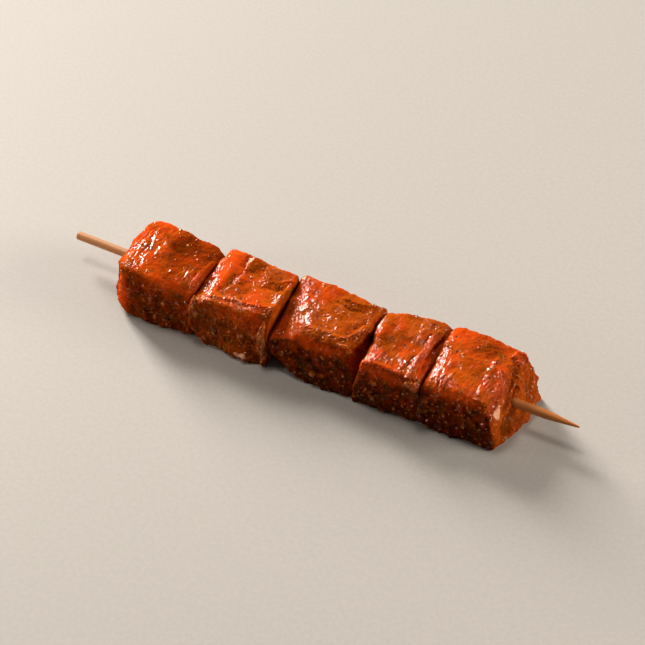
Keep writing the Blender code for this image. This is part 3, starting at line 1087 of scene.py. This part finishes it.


# The five cubes, from the blunt end of the stick to its point. The lean strip along the top
# of each front is partly bare muscle and partly painted light, a lighter band at the top of
# the shaded front.
CUBES = (
    # The longest cube, at the stick's blunt end, with a brown hollow in its top.
    LambCube(
        "lamb_cube_1", -57.5, 11,
        cuts=cut_rows(
            (-1, -0.02, 0.1, 17.8), (1, 0.02, -0.05, 15.9), (0.03, -1, 0.04, 16.7),
            (0.1, 1, 0.03, 11.8), (0.03, 0.03, 1, 10.6), (-0.62, -0.1, 0.78, 17.8),
            (-0.78, -0.62, 0.06, 20.8), (-0.66, 0.48, 0.58, 20.4), (0.58, 0.1, 0.8, 16.4),
            (0.2, -0.66, 0.72, 18.2), (-0.62, -0.56, -0.55, 22.2),
        ),
        folds=fold_rows(
            (5, -0.9, (-54.8, 3.5, 21), (-50, 2, 21)), (4.5, 1.3, (-74, -8, 4), (-71, -14, 3.5)),
            (1.8, 0.8, (-43.5, -11, 19), (-42.5, 1, 19)),
            (1.4, -0.5, (-45.6, -10, 20), (-44.6, 2, 20)),
        ),
        areas=(
            *area_rows(Patch.SHINE,
                (1.2, (-65.5, -3, 21), (6, 10.5, 4)), (1, (-47, -8.5, 21), (2.6, 4.5, 3))),
            *area_rows(Patch.LEAN,
                (0.8, (-71, -2, 21), (2.5, 12, 4)), (0.8, (-67, 10.5, 20.5), (6, 3.5, 4)),
                (0.8, (-53, -14.5, 20), (9, 2.6, 3.2)), (1.3, (-69.5, -15.7, 10), (3.4, 3.4, 10))),
            *area_rows(Patch.TORN, (0.6, (-42.4, -10.5, 20), (1.2, 5, 2.5))),
            *area_rows(Patch.PIT,
                (1, (-54.5, 4, 21), (7, 6, 4)), (0.7, (-43.5, 4, 20), (2.5, 4, 3)),
                (1, (-58, -17.3, 6), (4.5, 2.5, 4)), (0.5, (-60, -17.3, 14), (7, 2.5, 5))),
        ),
        creases=fold_rows(
            (0.7, -0.6, (-71, -15, 16.5), (-64.2, -16.3, 20), (-60, -15.6, 21)),
            (0.8, -0.5, (-66.5, -17, 17), (-65.5, -17.6, 9), (-64, -17.6, 2.5)),
            (1.8, 0.5, (-69, -16.4, 16), (-68.5, -16.9, 8), (-67.5, -17.5, 2.5)),
            (1.3, -0.7, (-60, -17.5, 7.5), (-57.5, -17.5, 5), (-55.5, -17.5, 5.5)),
            (0.9, -0.35, (-72.5, -6, 20.5), (-70, 4, 21.3), (-68.5, 13, 20.5)),
            (0.8, 0.5, (-42.6, 1.5, 20.6), (-42.5, -7.6, 20.6), (-42.4, -13.4, 18.7)),
            (2.2, 0.8, (-60.5, 3.5, 21.4), (-61, -3, 21.4), (-63.5, -8.5, 21.2)),
            (0.7, -0.45, (-44.4, -3, 20.9), (-44.3, -12, 20.2)),
        ),
        shade=1, painted_side_shade=0.5, ends=(1, 0.5),
    ),
    # The second cube, with a strip of bare muscle and a strand down its front edge.
    LambCube(
        "lamb_cube_2", -26, 22,
        cuts=cut_rows(
            (-1, 0.03, 0.06, 14.7), (1, 0.02, 0.02, 15.1), (0.06, -1, 0.1, 15.9),
            (0.06, 1, 0.02, 11.2), (0.02, -0.02, 1, 10.8), (-0.5, -0.08, 0.86, 14.2),
            (0.3, -0.75, 0.59, 18.4), (-0.62, -0.6, -0.5, 21.8),
        ),
        folds=fold_rows(
            (3.6, 1.3, (-24, -16.5, 2.5), (-19, -16.5, 1.5)),
            (3.4, -0.7, (-14, 1, 22), (-23, 4.5, 22)), (1.6, -0.5, (-32, -8, 22), (-31, 10, 22)),
        ),
        strands=strand_rows(
            (3.1, (-12.1, -14.3, 18.6), (-12.6, -15.6, 14), (-12.3, -15.9, 8.5),
             (-11.6, -16.2, 4.5), (-12, -16.9, 1.6)),
            (2.6, (-39.6, -15, 19.4), (-39.4, -16.1, 16.5), (-38.6, -16.5, 12.5)),
        ),
        areas=(
            *area_rows(Patch.LEAN,
                (1.3, (-35.6, 4, 21.5), (3.4, 9.5, 3.5)), (1, (-34, -5, 21.5), (1.6, 5, 3)),
                (0.35, (-17.5, -8.5, 21.6), (6.5, 2.2, 2.5)),
                (0.8, (-22, -15, 18), (13, 2.6, 3.2))),
            *area_rows(Patch.SHINE,
                (1, (-39.6, -6, 19), (2.5, 8, 3.5)), (1, (-22.5, -11.3, 21.4), (11.5, 1.3, 1.5))),
            *area_rows(Patch.FAT,
                # The long pale strip along the front top edge is a painted highlight of the rim.
                (0.45, (-24, -11.4, 21.4), (9.5, 0.7, 1.2)),
                (0.75, (-30, 8.4, 22), (0.6, 2.2, 2)), (0.8, (-20.4, -17.8, 2.3), (3, 1.6, 1.4))),
            *area_rows(Patch.PIT,
                (1.1, (-14.5, 1.5, 21.2), (5, 3.2, 3)), (1.1, (-26.2, 5.4, 21.8), (3.2, 3.4, 3))),
        ),
        creases=fold_rows(
            (0.8, -0.5, (-31.6, 9.5, 22.1), (-29.8, 2, 22), (-30.9, -4.1, 21.7),
             (-33.2, -9.6, 21.2)), (0.7, -0.3, (-39, 6, 20.8), (-36.8, -3, 21), (-35.2, -9, 21)),
            (2.2, 0.45, (-36, 8, 22), (-34.2, 0, 22.2), (-33.6, -7, 21.8)),
            (1.5, -0.6, (-20, -1, 21.6), (-14, 1.2, 21.3), (-11, 5, 20.8)),
            (0.7, 0.45, (-21, 2.2, 21.9), (-15, 4.2, 21.6), (-11.5, 7, 21)),
            (1.2, -0.5, (-28, 3, 22), (-24.5, 6.5, 22)),
            (0.7, 0.6, (-33.2, -12.8, 21.2), (-25.2, -11.3, 21.4), (-17.8, -10.1, 21.4),
             (-11.7, -9, 21.3)),
            (0.8, 0.35, (-11.9, -10, 20.5), (-11.3, -3, 21), (-11.2, 7, 20.8)),
            (1.6, 0.6, (-23.5, -17.3, 2.5), (-17.5, -17.4, 2)),
        ),
        fibre=(1, 0.12, 0), painted_side_shade=0.38,
    ),
    # The third cube, with a wide shining slope towards the second.
    LambCube(
        "lamb_cube_3", 6, 33,
        cuts=cut_rows(
            (-1, 0.02, 0.03, 16.2), (1, -0.2, 0.2, 17.6), (0.02, -1, 0.16, 14.6),
            (0.04, 1, 0.04, 11.4), (0.02, -0.02, 1, 10.6), (-0.5, -0.25, 0.82, 13.2),
            (-0.42, -0.74, -0.52, 19.3), (1, -0.05, -0.02, 16.9), (-0.1, -0.7, 0.7, 14.6),
        ),
        areas=(
            *area_rows(Patch.SHINE,
                (1, (-7, -3, 18.5), (5, 15, 5)), (0.7, (-1, -8, 21), (5, 5, 3)),
                (1, (-9, -9, 15.5), (3.5, 6.5, 4))),
            *area_rows(Patch.LEAN,
                (0.65, (0.5, 8, 22.2), (5.5, 4.5, 3)), (0.9, (7, -13.5, 17), (14, 2.5, 2.5)),
                (0.8, (22, -7, 14), (2.5, 7, 6))),
            *area_rows(Patch.PASTE, (1, (8, -3, 21.5), (8, 6, 3)), (1, (18, 0, 21), (6, 6, 4))),
            *area_rows(Patch.PIT,
                (0.8, (12, 5.5, 21.5), (7, 3.5, 3)), (0.5, (12, -14.6, 9), (7, 2.5, 5))),
        ),
        creases=fold_rows(
            (0.9, 0.9, (16.5, -9.5, 20.8), (19.5, -6.2, 21.2), (22, 0, 20)),
            (0.9, -0.7, (17.5, -3.5, 21.4), (20.5, 1.5, 20.8)),
            (0.9, -1, (20.6, -10.5, 18.5), (21.6, -6.5, 15), (21, -7.5, 9)),
            (1.2, 0.7, (18.8, -13.4, 17.5), (19.4, -13.8, 10), (19, -13.8, 4)),
            (0.7, -0.4, (7, 4.5, 22), (12, 3.5, 21.9), (18, 5, 21.4)),
            (0.8, 0.4, (8.5, 7.5, 22), (14, 7, 21.8), (19, 9, 21.2)),
            (0.8, 0.35, (2, -9.5, 21), (10, -9.4, 21.3), (17, -9.6, 20.6)),
            (1.2, 0.3, (4, -1, 22), (9, -3.5, 22)),
            (1, -0.4, (-2, -14, 11), (8, -14.8, 7), (15, -14.9, 8)),
        ),
    ),
    # The narrowest cube, with a raised, torn fold along its right edge.
    LambCube(
        "lamb_cube_4", 35.5, 44,
        cuts=cut_rows(
            (-1, -0.07, 0.16, 11.4), (1, -0.04, 0.02, 11.9), (0.04, -1, 0.04, 15.2),
            (-0.12, 1, 0.04, 13), (0.02, -0.02, 1, 10.2), (-0.62, -0.1, 0.76, 13.4),
            (0.66, 0.02, 0.75, 13.1), (-0.45, 0.45, 0.77, 15.2), (-1, 0, -0.02, 12.1),
        ),
        folds=fold_rows(
            (1.6, 0.9, (43.2, -13.5, 20.5), (44.2, 8, 20.5)),
            (1.4, -0.7, (45.2, -13, 19), (46, 8.5, 19)), (4, -0.5, (34, -1, 22), (40, 1, 22)),
        ),
        strands=strand_rows(
            (2.6, (43.6, -15.3, 18.6), (44.6, -15.5, 18.6)),
            (2.8, (45.4, -15.3, 18.2), (46.2, -15.5, 17)),
        ),
        areas=(
            *area_rows(Patch.FAT, (0.42, (25.6, 3, 20.6), (1.6, 4.2, 2.5))),
            *area_rows(Patch.SHINE,
                (1, (29.5, -11, 21), (5, 5, 3.5)), (0.8, (37.5, -8.5, 20.8), (4.5, 6, 3))),
            *area_rows(Patch.LEAN,
                (1.1, (33, -15.2, 17.6), (11, 2.5, 3)), (0.8, (45.3, -5, 19), (1, 10, 2.5))),
            *area_rows(Patch.TORN,
                (0.9, (43.6, -4, 20.8), (1.1, 11, 2.5)),
                (0.7, (46.6, -5.5, 18.6), (0.8, 10, 2.5))),
            *area_rows(Patch.PIT,
                (1.2, (44.3, 7.6, 20.6), (1.8, 2.5, 2.5)), (1, (30.5, -3.5, 21), (3, 3.5, 3))),
        ),
        creases=fold_rows(
            (2.2, 1.1, (24.6, 8, 19.6), (25.2, 3, 19.9), (26.6, -1, 20.4)),
            (1.3, -0.5, (29.6, 3, 21.3), (30.2, -4.4, 21), (28.2, -8, 20.8)),
            (0.8, 0.4, (26.5, -14.3, 19.2), (33.5, -14.2, 20.8), (40.5, -14, 20.9)),
            (0.7, 0.65, (43.9, 8.5, 20.8), (43.6, -4, 21.2), (42.8, -14.6, 20.4)),
            (0.6, -0.9, (45.2, 5, 19.6), (45, -6, 19.4), (44.4, -14.8, 19)),
            (0.6, 0.6, (46.4, 2, 18.8), (46.2, -12.5, 18.4)),
            (0.6, -0.4, (42.2, 6, 21), (41.8, -4, 21.2), (41, -13, 20.8)),
            (0.9, -0.25, (36.5, 11.5, 21.3), (37.5, 3, 21.2), (35, -3, 21)),
        ),
    ),
    # The last cube, with the torn end that the stick comes out of.
    LambCube(
        "lamb_cube_5", 60.5, 55,
        cuts=cut_rows(
            (-1, -0.02, 0.04, 12.7), (1, -0.17, 0.28, 14.8), (0.04, -1, 0.02, 14.6),
            (-0.04, 1, 0.02, 14.8), (0.04, 0, 1, 10.4), (-0.6, -0.06, 0.8, 14.2),
            (1, -0.1, -0.1, 18.6), (0.62, 0.62, 0.46, 21.8), (-0.05, -0.62, 0.78, 14.8),
            (-0.52, -0.6, -0.6, 20.4),
        ),
        folds=fold_rows(
            (2, 0.9, (72, -9.5, 21), (71.5, 12, 21)), (6, 2.4, (79, -3, 1.5), (78.5, 8, 4.5)),
            (1.8, -0.8, (73.5, -4, 17), (73.5, 8, 17)),
        ),
        areas=(
            *area_rows(Patch.LEAN,
                (1, (51.5, 11, 21.8), (5, 3.4, 3)), (0.7, (60, -14, 18.5), (11, 2.2, 2.2))),
            *area_rows(Patch.SHINE,
                (1, (53, -5.5, 21), (4.5, 9, 3.5)), (1, (67.4, -7, 21.3), (3.2, 4.5, 3)),
                (1, (66.4, 3, 21.4), (1.3, 5, 2))),
            *area_rows(Patch.TORN,
                (1, (72.8, -5, 19.4), (2.4, 6.5, 3.6)), (0.9, (73.2, -10.5, 17), (2, 3, 3.2)),
                (0.8, (74.2, 9.5, 20), (2, 3.5, 2))),
            *area_rows(Patch.PIT,
                (0.9, (73.2, 6, 20.4), (1.4, 2.4, 1.5)), (0.9, (62.5, 8.5, 21.6), (6.5, 4, 3)),
                (0.5, (60, 0, 21.6), (5, 3.5, 3))),
            *area_rows(Patch.FAT,
                (1.2, (74.2, -9.2, 13.8), (1.7, 1.8, 3.2)), (0.6, (74.6, -4.6, 16), (1, 3, 1))),
            *area_rows(Patch.PASTE, (1, (78, -2, 5), (4, 8, 6))),
        ),
        creases=fold_rows(
            (0.9, 1.1, (73.1, 13.2, 21), (75.9, 11.3, 18.5), (74.9, 5.4, 18.4),
             (76.6, 3.6, 13.6)),
            (0.9, -1.1, (71.8, 9, 21.2), (73.3, 6.4, 20.2), (73.9, 2.8, 18.8)),
            (0.7, 0.8, (71.4, 12, 21.2), (72.4, 9.6, 21.2), (74.2, 8.2, 20.2)),
            (0.7, 1, (75, 5.2, 17.9), (74.9, 0, 15.6), (74.1, -5.2, 15.3), (73.4, -10.4, 16.2)),
            (0.9, -0.8, (75.9, 4, 15.6), (75.6, -1, 13.3), (74.8, -6, 12.6)),
            (0.7, 0.6, (71, 1.5, 21.2), (72.2, -3, 20.4), (71.4, -9, 19.6)),
            (0.8, -0.6, (73, 0.5, 19), (73.2, -5, 18.2), (72.6, -11, 18)),
            (0.7, 0.45, (66.9, 6.6, 21.3), (66.5, 2.7, 21.4), (67.2, -2.5, 21.4)),
            (1.3, 0.6, (67.8, -3, 21.4), (68.2, -6.5, 21.3), (67.4, -10.5, 21)),
            (0.8, 0.3, (57, -12.6, 20.6), (64, -12.9, 20.8), (70.5, -12.8, 20)),
            (1.6, 0.8, (78.4, 3, 2), (77, -8, 1.8), (74.5, -13, 1.8)),
        ),
        shade=0.4, ends=(0.5, 1),
    ),
)


# ---------------------------------------------------------------------------- loose spices

class Speckle(Enum):
    """The outline of a scattered grain: length, width and thickness as shares of its size."""

    CRACKED = (1.0, 0.8, 0.55)
    FLAKE = (1.0, 0.45, 0.2)
    GRANULE = (1.0, 0.9, 0.7)


@dataclass
class SpiceScatter:
    """Many grains of one spice, pressed into the paste all over the meat.

    `size` is the typical length of a grain in mm and `spread` how much the sizes differ.
    `sink` is how deep a grain sits, as a share of its size, and `top_share` how many of the
    grains that the sides would hold lie on the tops.
    """

    name: str
    shape: Speckle
    count: int
    size: float
    spread: float
    seed: int
    sink: float
    finish: Speck
    top_share: float = 1.0
    base_margin: float = 0.8
    stick_margin: float = 3.0
    left_end: float = -68.0
    right_end: float = 70.0

    def grain(self) -> tuple[Array, Array]:
        """A small crystal: an icosahedron, whose corners are (0, ±1, ±g) and its turns.

        Returns:
            Its 12 corners on a unit sphere, and its 20 triangles.
        """
        golden = (1.0 + math.sqrt(5.0)) / 2.0
        corners = np.array([
            (-1, golden, 0), (1, golden, 0), (-1, -golden, 0), (1, -golden, 0),
            (0, -1, golden), (0, 1, golden), (0, -1, -golden), (0, 1, -golden),
            (golden, 0, -1), (golden, 0, 1), (-golden, 0, -1), (-golden, 0, 1),
        ])
        faces = np.array([
            (0, 11, 5), (0, 5, 1), (0, 1, 7), (0, 7, 10), (0, 10, 11),
            (1, 5, 9), (5, 11, 4), (11, 10, 2), (10, 7, 6), (7, 1, 8),
            (3, 9, 4), (3, 4, 2), (3, 2, 6), (3, 6, 8), (3, 8, 9),
            (4, 9, 5), (2, 4, 11), (6, 2, 10), (8, 6, 7), (9, 8, 1),
        ])
        return unit(corners), faces

    def build(self, skins: list[Surface]) -> bpy.types.Object:
        """Press the grains into the meat.

        Args:
            skins: the surfaces of the cubes.

        Returns:
            The piece with all grains of this spice.
        """
        draw = np.random.default_rng(self.seed)
        spots, normals = self.spots(skins, draw)
        points, faces = self.grain()
        size = self.size * np.exp(draw.normal(0.0, self.spread, len(spots)))
        wobble = 1.0 + 0.22 * draw.normal(size=(len(spots), len(points), 1))
        tangent = unit(np.cross(normals, unit(draw.normal(size=normals.shape))))
        bitangent = np.cross(normals, tangent)
        length, width, thickness = self.shape.value
        local = points[None] * wobble * (0.5 * size[:, None, None])
        placed = (
            local[..., 0:1] * length * tangent[:, None, :]
            + local[..., 1:2] * width * bitangent[:, None, :]
            + (local[..., 2:3] * thickness - self.sink * size[:, None, None]) * normals[:, None, :]
        ) + spots[:, None, :]
        placed[..., 2] = np.maximum(placed[..., 2], 0.02)
        shift = np.arange(len(spots))[:, None, None] * len(points)
        surface = Surface(placed.reshape(-1, 3), (faces[None] + shift).reshape(-1, 3))
        return add_piece(self.name, outward(surface), self.finish.build())

    def spots(self, skins: list[Surface], draw: np.random.Generator) -> tuple[Array, Array]:
        """Draw places on the meat, evenly by area, away from the base and the joins.

        Args:
            skins: the surfaces of the cubes.
            draw: the random generator.

        Returns:
            The places in mm, and the outward normals there.
        """
        centres, normals, areas = [], [], []
        for skin in skins:
            a, b, c = (skin.points[skin.faces[:, corner]] for corner in range(3))
            cross = np.cross(b - a, c - a)
            centre = (a + b + c) / 3.0
            area = np.linalg.norm(cross, axis=-1)
            open_air = np.abs(cross[:, 0]) < 0.8 * area
            end = (centre[:, 0] > self.right_end) | (centre[:, 0] < self.left_end)
            kept = (centre[:, 2] > self.base_margin) & (open_air | end)
            off_axis = np.hypot(centre[:, 1], centre[:, 2] - STICK_HEIGHT)
            top = np.where(cross[:, 2] > 0.5 * area, self.top_share, 1.0)
            gathered = smooth_step(-0.2, 0.5, soft_noise(centre, 7.0, self.seed)) + 0.1
            weight = area * kept * (off_axis > self.stick_margin) * top * gathered
            weight = weight * (0.25 + skin.values["paste"][skin.faces[:, 0]])
            centres.append(centre)
            normals.append(unit(cross))
            areas.append(weight)
        weight = np.concatenate(areas)
        chosen = draw.choice(len(weight), size=self.count, replace=False, p=weight / weight.sum())
        return np.concatenate(centres)[chosen], np.concatenate(normals)[chosen]


# ----------------------------------------------------------------------------------- studio

@dataclass
class Studio:
    """A plain pale floor, the camera, and four soft lights.

    The lights are a tall window at the back left, panels overhead and to the right, and a
    small fill at the left front. The angles are in degrees and the distances in mm.
    """

    elevation: float = 46.0
    azimuth: float = 27.94
    distance: float = 538.94
    target: Triple = (1.993, 2.694, 11.0)
    lens: float = 85.0
    sensor: float = 36.0
    floor_reach: float = 3.0

    def sight(self) -> Vector:
        """Unit vector from the target towards the camera."""
        tilt, turn = math.radians(self.elevation), math.radians(self.azimuth)
        return Vector((math.sin(turn) * math.cos(tilt), -math.cos(turn) * math.cos(tilt),
                       math.sin(tilt)))

    def camera(self) -> None:
        """Place the camera on its sight line, level with the horizon."""
        data = bpy.data.cameras.new("camera")
        data.lens = self.lens
        data.sensor_width = self.sensor
        data.clip_start = 0.01
        camera = bpy.data.objects.new("camera", data)
        camera.location = (Vector(self.target) + self.sight() * self.distance) * MM
        camera.rotation_euler = self.sight().to_track_quat("Z", "Y").to_euler()
        bpy.context.scene.collection.objects.link(camera)
        bpy.context.scene.camera = camera

    def softbox(self, name: str, towards: Triple, distance: float, size: tuple[float, float],
                power: float, colour: str) -> None:
        """A rectangular light that faces the skewer.

        Args:
            name: the light's name.
            towards: direction from the skewer to the light.
            distance: how far away it stands, in metres.
            size: its width and height in metres.
            power: its power in watts.
            colour: its sRGB colour.
        """
        data = bpy.data.lights.new(name, "AREA")
        data.shape = "RECTANGLE"
        data.size, data.size_y = size
        data.energy = power
        data.color = linear(colour)[:3]
        light = bpy.data.objects.new(name, data)
        direction = Vector(towards).normalized()
        light.location = direction * distance + Vector((0.0, 0.0, STICK_HEIGHT * MM))
        light.rotation_euler = direction.to_track_quat("Z", "Y").to_euler()
        light.visible_camera = False
        bpy.context.scene.collection.objects.link(light)

    def floor(self) -> None:
        """A wide matt sheet just under the skewer."""
        look = Look(bpy.data.materials.new("pale studio paper"))
        speck = look.add(Kind.NOISE, look.add(Kind.PLACE), per_mm(1.5), 3.0, 0.6)
        share = look.add(Kind.RAMP, speck, 0.3, 0.7)
        colour = look.add(Kind.BLEND, share, "#ABA9A6", "#B0AEAB")
        paper = look.finish({"Base Color": colour, "Roughness": 0.8})
        reach = self.floor_reach
        corners = [(-reach, -reach), (reach, -reach), (reach, reach), (-reach, reach)]
        mesh = bpy.data.meshes.new("floor")
        mesh.from_pydata([(x, y, -0.02 * MM) for x, y in corners], [], [(0, 1, 2, 3)])
        mesh.materials.append(paper)
        sheet = bpy.data.objects.new("floor", mesh)
        bpy.context.scene.collection.objects.link(sheet)

    def build(self) -> None:
        """Set up the floor, the lights, the surroundings and the camera."""
        scene = bpy.context.scene
        sky = Look(bpy.data.worlds.new("studio"))
        sky.add(Kind.WORLD, sky.add(Kind.SKY, "#E0D4C4", 0.07))
        scene.world = sky.owner
        scene.view_settings.view_transform = "Standard"
        self.floor()
        self.softbox("tall window", (-0.79, 0.45, 0.42), 2.0, (0.5, 1.1), 88.0, "#FFF6EC")
        self.softbox("overhead panel", (-0.25, 0.06, 0.97), 0.9, (0.18, 0.12), 2.2, "#FFF4E8")
        self.softbox("right panel", (0.9, 0.3, 0.34), 0.9, (0.4, 0.25), 6.5, "#FFF2E2")
        self.softbox("left front fill", (-0.88, -0.42, 0.24), 0.4, (0.07, 0.07), 0.45, "#FFF2E2")
        self.camera()


# ------------------------------------------------------------------------------------- main

def main() -> None:
    """Build the skewer piece by piece, then the studio round it."""
    logging.basicConfig(level=logging.INFO, format="%(name)s: %(message)s")
    BambooStick().build()
    meat = MarinatedLamb().build()
    skins = [cube.build(meat) for cube in CUBES]
    spices = (
        SpiceScatter("black_pepper", Speckle.CRACKED, 2000, 0.42, 0.35, 71, 0.1,
                     Speck("cracked black pepper", "#1B120D", "#38241A")),
        SpiceScatter("herb_flakes", Speckle.FLAKE, 150, 0.7, 0.35, 72, 0.1,
                     Speck("dried herb", "#2E2A12", "#4A3B18")),
        SpiceScatter("spice_granules", Speckle.GRANULE, 900, 0.5, 0.7, 73, 0.16,
                     Speck("paprika and garlic granules", "#BC6C20", "#A04814", 0.4, 0.8), 0.3),
    )
    for spice in spices:
        spice.build(skins)
    Studio().build()


if __name__ == "__main__":
    main()
